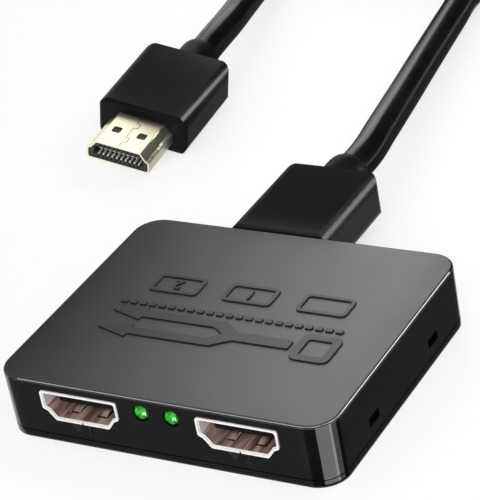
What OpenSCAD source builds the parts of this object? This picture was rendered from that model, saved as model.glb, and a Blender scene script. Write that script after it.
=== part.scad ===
// Two-way video splitter: a flat case with two outputs at the front, an input and a power socket at
// the rear, and the cable that is plugged into the input.
// Millimetres. +Z is up, +X is to the right seen from the front, +Y runs to the rear.
// The origin is the middle of the case's underside.

/* [Case] */
// Width of the case, side to side
case_w = 64; // [62:0.5:80]
// Depth of the case, front to rear
case_d = 52.8; // [51:0.4:70]
// Radius of the upright corners
case_corner_r = 5; // [3.5:0.5:6.5]
// Radius of the edge round the top face
top_edge_r = 0.5; // [0.2:0.1:0.9]
// Thickness of the side walls
wall_t = 1.5; // [1.3:0.1:1.9]
// Thickness of the top
top_t = 1.2; // [1:0.1:2]
// Free height between the sockets' rims and the inside of the top
head_gap = 0.48; // [0.3:0.02:3]

/* [Bottom cover] */
// Thickness of the cover's plate
cover_t = 1.5; // [1.2:0.1:2.5]
// Height and depth of the shadow line where the cover meets the case
seam_w = 0.25; // [0.15:0.05:0.5]
// Thickness of the lip and snap arms inside the case walls
lip_t = 1; // [0.8:0.1:1.2]
// Gap between the case and the cover's lip, snaps and pins
cover_fit = 0.15; // [0.05:0.05:0.2]
// Distance of the snaps in front of and behind the middle
snap_y = 11.6; // [9:0.2:13]
// Width of a snap window
snap_w = 3.7; // [3:0.1:5]
// Height of a snap window
snap_h = 1.75; // [1.4:0.05:2.2]
// Height of the snap windows above the plate
snap_rise = 1.9; // [1.5:0.1:2.4]
// Reach of a snap's hook into its window
hook_out = 0.8; // [0.5:0.1:1]

/* [Board] */
// Thickness of the board
board_t = 1.6; // [1:0.1:2]
// Height of the board above the cover's plate
board_lift = 1.5; // [1.3:0.1:3]
// Gap between the board's ends and the front and rear walls
board_gap = 0.3; // [0.2:0.1:0.6]
// Room for a snap arm to bend beside the board
arm_room = 0.55; // [0.4:0.05:0.8]
// Distance of the pins from the board's sides
pin_inset_x = 2.8; // [2.5:0.1:3]
// Distance of the pins from the board's front and rear ends
pin_inset_y = 5.6; // [5:0.2:6.4]
// Diameter of the pins that hold the board
pin_d = 1.9; // [1.5:0.1:2.1]
// Length of a pin above the board
pin_grip = 1.6; // [1:0.1:3]
// Diameter of the posts under the board and of the bosses above it
post_d = 4.2; // [3.8:0.1:4.5]

/* [Video sockets] */
// Width of a socket's opening
opening_w = 14; // [13.8:0.05:14.3]
// Height of a socket's opening
opening_h = 4.55; // [4.45:0.05:4.9]
// Height of the upright part of the opening's sides
opening_side = 2.6; // [2.4:0.1:2.8]
// Width of the opening's narrow side
opening_base = 10; // [9.6:0.1:10.4]
// Thickness of a socket's metal shell
shell_t = 0.35; // [0.25:0.05:0.45]
// Widening of a socket's rim
rim_flare = 0.2; // [0.1:0.05:0.3]
// Reach of the rims past the case
rim_proud = 0.2; // [0.1:0.05:0.5]
// Gap between a rim and its cut-out in the case
cutout_gap = 0.12; // [0.05:0.01:0.2]
// Gap between a socket's shell and the board
socket_seat = 0.17; // [0.1:0.01:0.4]
// Length of a socket's shell
socket_l = 12; // [11.8:0.1:13]
// Thickness of the insulator's back
socket_back = 1.2; // [1:0.1:1.3]
// Distance of the tongue behind the mouth
tongue_recess = 2.3; // [1.5:0.1:2.5]
// Width of the tongue
tongue_w = 10.8; // [10.5:0.1:11]
// Thickness of the tongue
tongue_t = 1; // [0.9:0.05:1.1]
// Height of the middle of the tongue above the opening's narrow side
tongue_rise = 2.4; // [2.3:0.05:2.5]
// Distance between the two outputs
output_pitch = 30.3; // [29:0.1:31]
// Place of the input, from the middle of the rear
input_x = -5; // [-8:0.5:2]
// Distance of the spring fingers from the middle of a socket
spring_x = 2.8; // [2.5:0.1:3]
// Width of a spring finger
spring_w = 1.5; // [1.2:0.1:1.7]
// Inward bend of the outputs' spring fingers
spring_bend = 0.4; // [0.2:0.05:0.6]

/* [Power socket] */
// Width of the power socket's opening
power_w = 7; // [6.8:0.1:7.4]
// Height of the power socket's opening
power_h = 1.9; // [1.8:0.05:2.1]
// Length of the power socket's shell
power_l = 5.4; // [5:0.1:6]
// Place of the power socket, from the middle of the rear
power_x = 16; // [13:0.5:18]

/* [Status lamps] */
// Diameter of a lamp
lamp_d = 3; // [2:0.1:3.2]
// Length of a lamp
lamp_l = 5; // [4:0.1:6]
// Distance between the two lamps
lamp_pitch = 5.8; // [5:0.1:7]
// Gap between a lamp and the case
lamp_gap = 0.2; // [0.1:0.05:0.3]
// Thickness of a lamp's leads
lead_t = 0.5; // [0.4:0.05:0.6]

/* [Plugs] */
// Width of a plug's moulded body
plug_w = 20; // [19:0.5:22]
// Height of a plug's moulded body
plug_h = 9; // [8.5:0.1:10]
// Length of a plug's moulded body
plug_l = 23; // [21:0.5:26]
// Radius of the body's long edges
plug_edge_r = 2.4; // [1.5:0.1:3.5]
// Radius of the body's rear corners
plug_corner_r = 2.6; // [1.5:0.1:4]
// Radius of the body's front edges
plug_front_r = 1; // [0.5:0.1:1.5]
// Length of the collar that holds the cord
collar_l = 6.4; // [5:0.1:8]
// Diameter of the collar at the body
collar_d = 8.8; // [8:0.1:9]
// Gap all round a plug in its socket
plug_fit = 0.05; // [0.03:0.01:0.1]
// Gap between a plug's body and the socket's rim
plug_gap = 0.6; // [0.5:0.1:1]
// Length of the metal shell in front of the body
plug_nose = 11.2; // [10.8:0.1:11.3]
// Thickness of a plug's metal shell
plug_shell_t = 0.3; // [0.25:0.05:0.35]
// Height of the slot that takes the tongue
slot_h = 1.9; // [1.8:0.05:2]

/* [Cord] */
// Diameter of the cord
cord_d = 6.6; // [5.5:0.1:6.7]
// Thickness of the tie round the coil
tie_t = 0.6; // [0.5:0.1:0.8]
// Width of the tie
tie_w = 8; // [6:0.5:9]

/* [Hidden] */
$fn = 48;
eps = 0.01;

// Heights, worked up from the cover
board_bottom = cover_t + board_lift;
board_top = board_bottom + board_t;
socket_z = board_top + socket_seat + shell_t + opening_h / 2;
rim_top = socket_z + opening_h / 2 + shell_t + rim_flare;
inner_top = rim_top + head_gap;
case_h = inner_top + top_t;
lamp_z = inner_top - lamp_gap - lamp_d / 2;

// Inside of the case, and the board in it
inner_w = case_w - 2 * wall_t;
inner_d = case_d - 2 * wall_t;
inner_r = case_corner_r - wall_t;
lip_w = inner_w - 2 * cover_fit;
lip_d = inner_d - 2 * cover_fit;
lip_r = inner_r - cover_fit;
lip_clear = 0.4;
lip_h = board_lift - lip_clear;
board_w = lip_w - 2 * lip_t - 2 * arm_room;
board_d = inner_d - 2 * board_gap;
board_r = 1;
pin_x = board_w / 2 - pin_inset_x;
pin_y = board_d / 2 - pin_inset_y;
snap_z = cover_t + snap_rise;
lead_drop = 0.8;

// Sockets
mouth_y = case_d / 2 + rim_proud;
output_x = output_pitch / 2;
rim_l = 0.7;
rim_notch = 0.35;
shoulder_in = 0.75;
shoulder_drop = 0.35;
corner_round = 0.45;
board_z = board_top - socket_z;
tongue_z = tongue_rise - opening_h / 2;
contact_pitch = 0.5;
contact_count = 19;
contact_w = 0.3;
contact_t = 0.15;
contact_proud = 0.05;
blade_start = 0.4;
tail_gap = 0.25;
tail_l = 1.1;
finger_tip = 2.3;
finger_root = 7.5;
finger_curl = 1.2;
finger_slot = 0.3;
leg_w = 1.8;
leg_places = [5, 10];
leg_gap = 0.2;
insulator_fit = 0.05;

// Power socket
power_shell_t = 0.3;
power_seat = 0.05;
power_z = board_top + power_seat + power_shell_t + power_h / 2;
power_back = 0.9;
power_tongue_t = 0.6;
power_tongue_inset = 0.9;
power_leg_w = 1.6;
power_blade_start = 0.3;
power_blade_sink = 0.05;
power_contact_count = 5;
power_pitch = 0.65;
power_floor = board_top - power_z;

// Lamps
lamp_lead_x = 1;
lamp_tip = -mouth_y;
lamp_rear = lamp_tip + lamp_l;
lead_reach = 2;
lead_hole_gap = 0.2;

// Parts on the board
chip_size = 10;
chip_h = 1.4;
chip_stand = 0.1;
chip_side_leads = 12;
chip_pitch = 0.65;
chip_lead_w = 0.25;
gull_reach = 1;
gull_t = 0.15;
memory_size = [5, 4, 1.5];
memory_step = 6;
memory_pitch = 1.27;
memory_lead_w = 0.4;
regulator_size = [6.5, 3.5, 1.6];
regulator_place = [16, 11];
regulator_pitch = 2.3;
regulator_lead_w = 0.7;
regulator_tab_w = 3;
crystal_size = [5, 3.2, 1.2];
crystal_place = [-11, 5.5];
can_d = 5;
can_h = 4.6;
can_base = [5.3, 5.3, 0.7];
can_places = [[21, 4], [13, 3.5]];
ceramic_size = [1.6, 0.8, 0.8];
ceramic_pitch = 2.3;
ceramic_count = 4;
ceramic_row = [9, 8.2];
resistor_size = [1.6, 0.8, 0.45];
resistor_pitch = 2.4;
resistor_count = 5;
resistor_step = 2.85;
surge_size = [2.5, 1, 0.5];
surge_count = 4;
surge_pitch = 3;
surge_gap = 1.4;
surge_y = mouth_y - socket_l - tail_gap - tail_l - surge_gap;
resistor_row = [18, resistor_step - surge_y];
memory_place = [-14, resistor_row[1] + memory_step];

// Plugs
shell_in = 8;
mould_fit = 0.05;
mould_size = [14, 6, 6];
collar_wall = 0.4;
collar_end_d = cord_d + 2 * collar_wall;
collar_flat = 4;
plug_contact_out = 0.3;
plug_contact_in = 0.1;
nose_recess = 0.25;
contact_recess = 0.4;
contact_end = 1;
slot_spare = 0.5;
slot_side_gap = 0.15;
window = 0.45;
latch_hole = [1.9, 2];
latch_corner = 0.45;
latch_y = 5.4;
seam_cut = 0.14;
seam_key = 0.8;
seam_keys = [[2, 3.8], [7.4, 9]];
seam_rest = 1;
input_plug_y = mouth_y + plug_gap;

// Free plug: it lies on one long edge behind the case, held by the stiff cord
free_yaw = 3.5;
free_pitch = 3;
free_roll = 13.5;
free_rise = (plug_w / 2 - plug_edge_r) * sin(free_roll) + (plug_h / 2 - plug_edge_r) * cos(free_roll)
    + plug_edge_r;
free_place = [-58, 66.6, free_rise * cos(free_pitch)];
free_axis = [-sin(free_yaw) * cos(free_pitch), cos(free_yaw) * cos(free_pitch), sin(free_pitch)];
free_tail = free_place + (plug_l + collar_l) * free_axis;

// Cord: two free runs, and a round coil of two layers between them
cord_r = cord_d / 2;
coil_centre = [-44, 194];
coil_r = 43.5;
coil_turns = 4.5;
coil_step = 7.2;
coil_clear = 0.05;
tie_clear = 0.8;
tie_corner = 1.2;
coil_z = tie_t + coil_clear + cord_r;
coil_rings = 24;
coil_sides = 6;
measure_rings = 48;
run_sides = 8;
straight_out = 7;
coil_in = [coil_centre[0] + coil_r, coil_centre[1] - cord_d, coil_z];
coil_out = [coil_centre[0] - coil_r, coil_centre[1] - cord_d, coil_z + coil_step];
input_tail = [input_x, input_plug_y + plug_l + collar_l, socket_z];
input_route = concat([input_tail, input_tail + [0, straight_out, 0]], [
    [-6.3, 73, 7.2], [-7.8, 82, 6.7], [-9.6, 92, 6], [-11.8, 104, 5.2], [-13.8, 116, 4.6],
    [-15.6, 128, 4.2], [-16.9, 139, 4], [-15.2, 150, 3.95], [-10.1, 161, 3.95], [-4.3, 172, 3.95]
], [coil_in - [0, 4, 0], coil_in]);
free_route = concat([free_tail, free_tail + straight_out * free_axis], [
    [-61.3, 111, 7.8], [-63.4, 120, 6.9], [-65.7, 130, 5.9], [-67.9, 141, 5.1], [-72.2, 152, 5.4],
    [-78.8, 163, 7], [-84.4, 173, 9.2]
], [coil_out - [0, 4, 0], coil_out]);

// Outline of a video socket's opening, narrow side down, middle at the origin
opening = let (w = opening_w / 2, h = opening_h / 2, b = opening_base / 2) [
    [b, -h], [w - shoulder_in, h - opening_side - shoulder_drop], [w, h - opening_side], [w, h],
    [-w, h], [-w, h - opening_side], [shoulder_in - w, h - opening_side - shoulder_drop], [-b, -h]
];
// Outline of the power socket's opening
power_opening = let (w = power_w / 2, h = power_h / 2, c = 0.8) [
    [w - c, -h], [w, c - h], [w, h], [-w, h], [-w, c - h], [c - w, -h]
];

// Outward normal of the edge from a to b of an outline that runs anticlockwise
function edge_normal(a, b) = let (v = b - a) [v[1], -v[0]] / norm(v);
// Outline moved outwards by d
function grown(outline, d) = let (n = len(outline)) [
    for (i = [0 : n - 1])
        let (p = outline[i],
             u = edge_normal(outline[(i + n - 1) % n], p),
             v = edge_normal(p, outline[(i + 1) % n]))
            p + d * (u + v) / (1 + u * v)
];
// Arc of radius r that rounds the corner b between a and c
function corner_arc(a, b, c, r, steps) =
    let (u = (a - b) / norm(a - b),
         v = (c - b) / norm(c - b),
         half = acos(u * v) / 2,
         middle = b + (u + v) / norm(u + v) * r / sin(half),
         from = b + u * r / tan(half) - middle,
         to = b + v * r / tan(half) - middle,
         start = atan2(from[1], from[0]),
         sweep = (atan2(to[1], to[0]) - start + 540) % 360 - 180)
    [for (i = [0 : steps])
        let (a = start + sweep * i / steps) middle + r * [cos(a), sin(a)]];
// Outline with every corner rounded
function rounded(outline, r, steps = 3) = let (n = len(outline)) [
    for (i = [0 : n - 1])
        each corner_arc(outline[(i + n - 1) % n], outline[i], outline[(i + 1) % n], r, steps)
];
// Socket outline moved outwards by d, with its corners rounded
function socket_outline(d) = rounded(grown(opening, d), corner_round);
function power_outline(d) = rounded(grown(power_opening, d), 0.3);
// Place of a contact across its socket: even ones lie on the wide side, odd ones on the narrow side
function contact_x(i) = (i - (contact_count - 1) / 2) * contact_pitch;
function contact_side(i) = i % 2 == 0 ? 1 : -1;

// Prism along +Y of an outline in X and Z
module along_y(outline, from, to) {
    translate([0, to, 0])
        rotate([90, 0, 0])
            linear_extrude(to - from)
                polygon(outline);
}

// Box given by its lowest and highest corners
module block(low, high) {
    translate(low)
        cube(high - low);
}

// Box that stands on z, with its middle at x and y
module standing(place, size, z) {
    translate([place[0] - size[0] / 2, place[1] - size[1] / 2, z])
        cube(size);
}

module rounded_square(w, d, r) {
    square([w - 2 * r, d], center = true);
    square([w, d - 2 * r], center = true);
    for (x = [-1, 1], y = [-1, 1])
        translate([x * (w / 2 - r), y * (d / 2 - r)])
            circle(r);
}

// Copies for the four pins
module at_pins() {
    for (x = [-pin_x, pin_x], y = [-pin_y, pin_y])
        translate([x, y, 0])
            children();
}

// Copies for the four snaps, each with its outside towards +X
module at_snaps() {
    for (side = [0, 180], y = [-snap_y, snap_y])
        rotate(side)
            translate([0, y, 0])
                children();
}

// A socket's own frame has its mouth at the origin, facing -Y
module at_output(side) {
    translate([side * output_x, -mouth_y, socket_z])
        children();
}

module at_input() {
    translate([input_x, mouth_y, socket_z])
        rotate(180)
            children();
}

module at_power() {
    translate([power_x, mouth_y, power_z])
        rotate(180)
            children();
}

module at_lamp(side) {
    translate([side * lamp_pitch / 2, 0, lamp_z])
        children();
}

// A plug's own frame has the front of its body at the origin, with the nose towards -Y
module at_input_plug() {
    translate([input_x, input_plug_y, socket_z])
        children();
}

module at_free_plug() {
    translate(free_place)
        rotate([0, 0, free_yaw])
            rotate([free_pitch, 0, 0])
                rotate([0, free_roll + 180, 0])
                    children();
}

// Outside of the case: walls up to the rounded edge of the top
module case_outside() {
    r = case_corner_r;
    x = case_w / 2 - r;
    y = case_d / 2 - r;
    edge_middle = [r - top_edge_r, case_h - top_edge_r];
    arc = [for (a = [0 : 18 : 90]) edge_middle + top_edge_r * [cos(a), sin(a)]];
    profile = concat([[0, cover_t], [r, cover_t]], arc, [[0, case_h]]);
    block([-x, -y, cover_t], [x, y, case_h]);
    for (i = [0 : 3])
        translate([(i == 0 || i == 3 ? 1 : -1) * x, (i < 2 ? 1 : -1) * y, 0])
            rotate(90 * i)
                rotate_extrude(angle = 90, $fn = 64)
                    polygon(profile);
    for (i = [0 : 3])
        rotate(90 * i)
            translate([i % 2 == 0 ? x : y, i % 2 == 0 ? y : x, 0])
                rotate([90, 0, 0])
                    linear_extrude(2 * (i % 2 == 0 ? y : x))
                        polygon(profile);
}

// Bosses over the board's pins, cut clear of the sockets
module case_bosses() {
    difference() {
        at_pins()
            translate([0, 0, board_top])
                cylinder(h = inner_top - board_top + top_t / 2, d = post_d);
        for (side = [-1, 1])
            at_output(side)
                socket_room();
        at_input()
            socket_room();
    }
}

// Space of a socket's shell and contacts, with a gap all round
module socket_room() {
    along_y(socket_outline(shell_t + cutout_gap), 0, socket_l + tail_gap + tail_l + cutout_gap);
}

module top_case() {
    color("#2a2a2c")
    difference() {
        union() {
            difference() {
                case_outside();
                translate([0, 0, cover_t - eps])
                    linear_extrude(inner_top - cover_t + eps)
                        rounded_square(inner_w, inner_d, inner_r);
            }
            case_bosses();
        }
        at_pins()
            translate([0, 0, board_top - eps])
                cylinder(h = pin_grip + cover_fit + eps, d = pin_d + 2 * cover_fit);
        for (side = [-1, 1])
            at_output(side)
                along_y(socket_outline(shell_t + rim_flare + cutout_gap), -eps, rim_proud + wall_t + eps);
        at_input()
            along_y(socket_outline(shell_t + rim_flare + cutout_gap), -eps, rim_proud + wall_t + eps);
        at_power()
            along_y(power_outline(power_shell_t + cutout_gap), -eps, rim_proud + wall_t + eps);
        for (side = [-1, 1])
            at_lamp(side)
                translate([0, -case_d / 2 - eps, 0])
                    rotate([-90, 0, 0])
                        cylinder(h = wall_t + 2 * eps, d = lamp_d + lamp_gap);
        at_snaps()
            block([inner_w / 2 - eps, -snap_w / 2, snap_z], [case_w / 2 + eps, snap_w / 2, snap_z + snap_h]);
    }
}

// Arm with a sloped hook that enters a window
module snap_arm() {
    arm_out = lip_w / 2;
    arm_top = snap_z + snap_h - cover_fit;
    hook_low = snap_z + cover_fit;
    hook_tip = inner_w / 2 + hook_out;
    along_y([
        [arm_out - lip_t, cover_t - eps], [arm_out, cover_t - eps], [arm_out, hook_low],
        [hook_tip, hook_low], [hook_tip, hook_low + (arm_top - hook_low) / 3], [arm_out, arm_top],
        [arm_out - lip_t, arm_top]
    ], cover_fit - snap_w / 2, snap_w / 2 - cover_fit);
}

module bottom_cover() {
    color("#242426")
    union() {
        linear_extrude(cover_t - seam_w)
            rounded_square(case_w, case_d, case_corner_r);
        linear_extrude(cover_t)
            rounded_square(case_w - 2 * seam_w, case_d - 2 * seam_w, case_corner_r - seam_w);
        translate([0, 0, cover_t - seam_w])
            linear_extrude(lip_h + seam_w)
                difference() {
                    rounded_square(lip_w, lip_d, lip_r);
                    rounded_square(lip_w - 2 * lip_t, lip_d - 2 * lip_t, lip_r - lip_t);
                }
        at_snaps()
            snap_arm();
        at_pins() {
            translate([0, 0, cover_t - seam_w])
                cylinder(h = board_lift + seam_w, d = post_d);
            cylinder(h = board_top + pin_grip, d = pin_d);
        }
    }
}

// Slots in the board for the four legs of a socket
module leg_slots() {
    for (side = [-1, 1], y = leg_places)
        translate([side * (opening_w + shell_t) / 2, y, board_z])
            cube([shell_t + 2 * leg_gap, leg_w + 2 * leg_gap, 4 * board_t], center = true);
}

module main_board() {
    color("#1f5c38")
    difference() {
        translate([0, 0, board_bottom])
            linear_extrude(board_t)
                rounded_square(board_w, board_d, board_r);
        at_pins()
            cylinder(h = board_top + eps, d = pin_d + 2 * cover_fit);
        at_output(-1)
            leg_slots();
        at_output(1)
            leg_slots();
        at_input()
            leg_slots();
        for (side = [-1, 1], x = [-lamp_lead_x, lamp_lead_x])
            translate([side * lamp_pitch / 2 + x, lamp_rear + lead_reach, 0])
                cylinder(h = board_top + eps, d = lead_t * sqrt(2) + lead_hole_gap);
    }
}

// Spring finger of a socket's shell, on its narrow side, bent inwards at its tip
module spring_finger(bend) {
    z = -opening_h / 2;
    outline = [
        [finger_root + eps, z - shell_t], [finger_root + eps, z],
        [finger_tip + finger_curl, z + bend], [finger_tip, z + bend / 4],
        [finger_tip, z + bend / 4 - shell_t], [finger_tip + finger_curl, z + bend - shell_t]
    ];
    translate([-spring_w / 2, 0, 0])
        rotate([90, 0, 90])
            linear_extrude(spring_w)
                polygon(outline);
}

// Stamped shell: a flared rim with a notch where its ends meet, two spring fingers cut out of each
// broad side, and four legs
module socket_shell(bend) {
    leg_low = board_z - board_t - lead_drop;
    leg_high = opening_h / 2 - opening_side / 2;
    difference() {
        union() {
            along_y(socket_outline(shell_t), 0, socket_l);
            along_y(socket_outline(shell_t + rim_flare), 0, rim_l);
            for (side = [-1, 1], y = leg_places)
                translate([side * (opening_w + shell_t) / 2, y, (leg_low + leg_high) / 2])
                    cube([shell_t, leg_w, leg_high - leg_low], center = true);
        }
        along_y(socket_outline(0), -eps, socket_l + eps);
        along_y(socket_outline(rim_flare), -eps, rim_l - shell_t);
        block([-rim_notch / 2, -eps, -opening_h / 2 - shell_t - 2 * rim_flare],
              [rim_notch / 2, rim_l - shell_t, -opening_h / 2]);
        for (side = [-1, 1], z = [-1, 1])
            translate([side * spring_x, (finger_tip - finger_slot + finger_root) / 2, z * opening_h / 2])
                cube([
                    spring_w + 2 * finger_slot, finger_root - finger_tip + finger_slot, 3 * shell_t
                ], center = true);
    }
    for (side = [-1, 1], flip = [0, 1])
        mirror([0, 0, flip])
            translate([side * spring_x, 0, 0])
                spring_finger(bend);
}

// Contact: a blade on the tongue, a drop behind the shell and a foot on the board
module socket_contact(i) {
    side = contact_side(i);
    face = tongue_z + side * tongue_t / 2;
    high = face + (side > 0 ? contact_proud : contact_t - contact_proud);
    drop = socket_l + tail_gap;
    rear = drop + contact_t;
    translate([contact_x(i) - contact_w / 2, 0, 0]) {
        block([0, tongue_recess + blade_start, high - contact_t], [contact_w, rear, high]);
        block([0, drop, board_z], [contact_w, rear, high]);
        block([0, drop, board_z], [contact_w, drop + tail_l, board_z + contact_t]);
    }
}

module socket_contacts() {
    for (i = [0 : contact_count - 1])
        socket_contact(i);
}

module socket_insulator() {
    difference() {
        union() {
            along_y(socket_outline(-insulator_fit), socket_l - socket_back, socket_l);
            block([-tongue_w / 2, tongue_recess, tongue_z - tongue_t / 2],
                  [tongue_w / 2, socket_l - socket_back + eps, tongue_z + tongue_t / 2]);
        }
        socket_contacts();
    }
}

module power_socket_shell() {
    difference() {
        along_y(power_outline(power_shell_t), 0, power_l);
        along_y(power_outline(0), -eps, power_l + eps);
    }
    for (side = [-1, 1])
        translate([side * (power_w + power_shell_t) / 2, power_l / 2, (power_floor + power_h / 2) / 2])
            cube([power_shell_t, power_leg_w, power_h / 2 - power_floor], center = true);
}

module power_contact_row() {
    top = power_tongue_t / 2 - power_blade_sink;
    drop = power_l + tail_gap;
    for (i = [0 : power_contact_count - 1])
        translate([(i - (power_contact_count - 1) / 2) * power_pitch - contact_w / 2, 0, 0]) {
            block([0, power_tongue_inset + power_blade_start, top - contact_t],
                  [contact_w, drop + contact_t, top]);
            block([0, drop, power_floor], [contact_w, drop + contact_t, top]);
            block([0, drop, power_floor], [contact_w, drop + tail_l, power_floor + contact_t]);
        }
}

module power_socket_insulator() {
    difference() {
        union() {
            along_y(power_outline(-insulator_fit), power_l - power_back, power_l);
            block([power_tongue_inset - power_w / 2, power_tongue_inset, -power_tongue_t / 2],
                  [power_w / 2 - power_tongue_inset, power_l - power_back + eps, power_tongue_t / 2]);
        }
        power_contact_row();
    }
}

module output_1_shell() { color("#d9d6d2") at_output(-1) socket_shell(spring_bend); }
module output_2_shell() { color("#d9d6d2") at_output(1) socket_shell(spring_bend); }
module input_shell() { color("#d9d6d2") at_input() socket_shell(0); }
module power_shell() { color("#d9d6d2") at_power() power_socket_shell(); }
module output_1_insulator() { color("#17171a") at_output(-1) socket_insulator(); }
module output_2_insulator() { color("#17171a") at_output(1) socket_insulator(); }
module input_insulator() { color("#17171a") at_input() socket_insulator(); }
module power_insulator() { color("#17171a") at_power() power_socket_insulator(); }
module output_1_contacts() { color("#d8b45c") at_output(-1) socket_contacts(); }
module output_2_contacts() { color("#d8b45c") at_output(1) socket_contacts(); }
module input_contacts() { color("#d8b45c") at_input() socket_contacts(); }
module power_contacts() { color("#d8b45c") at_power() power_contact_row(); }

// Lamp with a domed tip that is level with the sockets' rims
module lamp() {
    translate([0, lamp_tip + lamp_d / 2, 0]) {
        sphere(d = lamp_d);
        rotate([-90, 0, 0])
            cylinder(h = lamp_l - lamp_d / 2, d = lamp_d);
    }
}

module status_lamp_1() { color("#27d04a") at_lamp(-1) lamp(); }
module status_lamp_2() { color("#27d04a") at_lamp(1) lamp(); }

module lamp_leads() {
    color("#c9c9c9")
    for (side = [-1, 1], x = [-lamp_lead_x, lamp_lead_x])
        at_lamp(side)
            translate([x - lead_t / 2, lamp_rear, 0]) {
                block([0, 0, -lead_t / 2], [lead_t, lead_reach + lead_t / 2, lead_t / 2]);
                block([0, lead_reach - lead_t / 2, board_bottom - lead_drop - lamp_z],
                      [lead_t, lead_reach + lead_t / 2, lead_t / 2]);
            }
}

// Bent lead that starts at the side of a chip, towards +X, and ends on the board
module gull_lead(w, height) {
    along_y([
        [0, height], [gull_reach / 2 - gull_t, height], [gull_reach / 2 - gull_t, 0], [gull_reach, 0],
        [gull_reach, gull_t], [gull_reach / 2, gull_t], [gull_reach / 2, height + gull_t],
        [0, height + gull_t]
    ], -w / 2, w / 2);
}

module splitter_chip() {
    color("#202022")
        standing([0, 0], [chip_size, chip_size, chip_h], board_top + chip_stand);
}

module splitter_chip_leads() {
    color("#c9c9c9")
    for (turn = [0 : 90 : 270], i = [0 : chip_side_leads - 1])
        rotate(turn)
            translate([chip_size / 2, (i - (chip_side_leads - 1) / 2) * chip_pitch, board_top])
                gull_lead(chip_lead_w, chip_stand + chip_h / 2);
}

module memory_chip() {
    color("#202022")
        standing(memory_place, memory_size, board_top + chip_stand);
}

module memory_chip_leads() {
    color("#c9c9c9")
    translate([memory_place[0], memory_place[1], board_top])
        for (turn = [90, 270], i = [-1.5 : 1.5])
            rotate(turn)
                translate([memory_size[1] / 2, i * memory_pitch, 0])
                    gull_lead(memory_lead_w, chip_stand + memory_size[2] / 2);
}

module voltage_regulator() {
    color("#202022")
        standing(regulator_place, regulator_size, board_top + chip_stand);
}

module regulator_leads() {
    color("#c9c9c9")
    translate([regulator_place[0], regulator_place[1], board_top]) {
        for (i = [-1 : 1])
            rotate(270)
                translate([regulator_size[1] / 2, i * regulator_pitch, 0])
                    gull_lead(regulator_lead_w, chip_stand + regulator_size[2] / 2);
        rotate(90)
            translate([regulator_size[1] / 2, 0, 0])
                gull_lead(regulator_tab_w, chip_stand + regulator_size[2] / 2);
    }
}

module crystal() {
    color("#b9bcc0")
        standing(crystal_place, crystal_size, board_top);
}

module capacitor_cans() {
    color("#c3c6ca")
    for (place = can_places)
        translate([place[0], place[1], board_top + can_base[2]])
            cylinder(h = can_h, d = can_d);
}

module capacitor_bases() {
    color("#202022")
    for (place = can_places)
        standing(place, can_base, board_top);
}

module ceramic_capacitors() {
    color("#b08a5a")
    for (side = [-1, 1], i = [0 : ceramic_count - 1]) {
        along = (i - (ceramic_count - 1) / 2) * ceramic_pitch;
        standing([along, side * ceramic_row[1]], ceramic_size, board_top);
        standing([side * ceramic_row[0], along], ceramic_size, board_top);
    }
}

module chip_resistors() {
    color("#26262b")
    for (side = [-1, 1], i = [0 : resistor_count - 1])
        standing([side * resistor_row[0] + (i - (resistor_count - 1) / 2) * resistor_pitch, resistor_row[1]],
                 resistor_size, board_top);
}

// Surge arrays, a row behind each video socket
module surge_arrays() {
    color("#202022")
    for (i = [0 : surge_count - 1], row = [[-output_x, -surge_y], [output_x, -surge_y], [input_x, surge_y]])
        standing([row[0] + (i - (surge_count - 1) / 2) * surge_pitch, row[1]], surge_size, board_top);
}

// Outline of a plug's block from above or from the side, its front edges rounded
module front_rounded(width) {
    translate([0, plug_l / 2 + plug_front_r])
        rounded_square(width, plug_l + 2 * plug_front_r, plug_front_r);
}
// Block of a plug's body: its section, its plan and its side view all hold
module plug_block() {
    intersection() {
        translate([0, plug_l, 0])
            rotate([90, 0, 0])
                linear_extrude(plug_l)
                    rounded_square(plug_w, plug_h, plug_edge_r);
        translate([0, 0, -plug_h / 2 - eps])
            linear_extrude(plug_h + 2 * eps)
                intersection() {
                    translate([0, plug_l / 2 - plug_corner_r])
                        rounded_square(plug_w, plug_l + 2 * plug_corner_r, plug_corner_r);
                    front_rounded(plug_w);
                }
        rotate([0, 90, 0])
            linear_extrude(plug_w + 2 * eps, center = true)
                front_rounded(plug_h);
    }
}
// Moulded body of a plug, with its pockets and the collar round the cord
module plug_body() {
    shoulder_l = collar_l - collar_flat;
    shoulder = [for (a = [0 : 15 : 90])
        [collar_end_d / 2 + (collar_d - collar_end_d) / 2 * cos(a), collar_flat + shoulder_l * sin(a)]];
    collar = concat([[0, 0], [collar_d / 2, 0]], shoulder, [[0, collar_l]]);
    difference() {
        union() {
            plug_block();
            translate([0, plug_l - eps, 0])
                rotate([-90, 0, 0])
                    rotate_extrude()
                        polygon(collar);
        }
        along_y(socket_outline(mould_fit - plug_fit), -eps, shell_in + mould_fit);
        translate([0, shell_in + mould_size[2] / 2 + mould_fit, 0])
            cube([
                mould_size[0] + 2 * mould_fit, mould_size[2] + 2 * mould_fit, mould_size[1] + 2 * mould_fit
            ], center = true);
    }
}

// Stepped seam where the stamped shell's two edges lock together, on the narrow side
module shell_seam() {
    keys = [for (k = seam_keys) each [[0, k[0]], [-seam_key, k[0]], [-seam_key, k[1]], [0, k[1]]]];
    steps = concat([[0, 0]], keys, [[0, plug_nose - seam_rest]]);
    for (i = [0 : len(steps) - 2])
        let (low = [min(steps[i][0], steps[i + 1][0]), steps[i][1]],
             high = [max(steps[i][0], steps[i + 1][0]), steps[i + 1][1]])
            translate([0, -plug_nose, -opening_h / 2])
                block([low[0] - seam_cut / 2, low[1] - seam_cut / 2, -plug_shell_t],
                      [high[0] + seam_cut / 2, high[1] + seam_cut / 2, plug_shell_t + plug_fit + seam_cut]);
}

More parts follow.
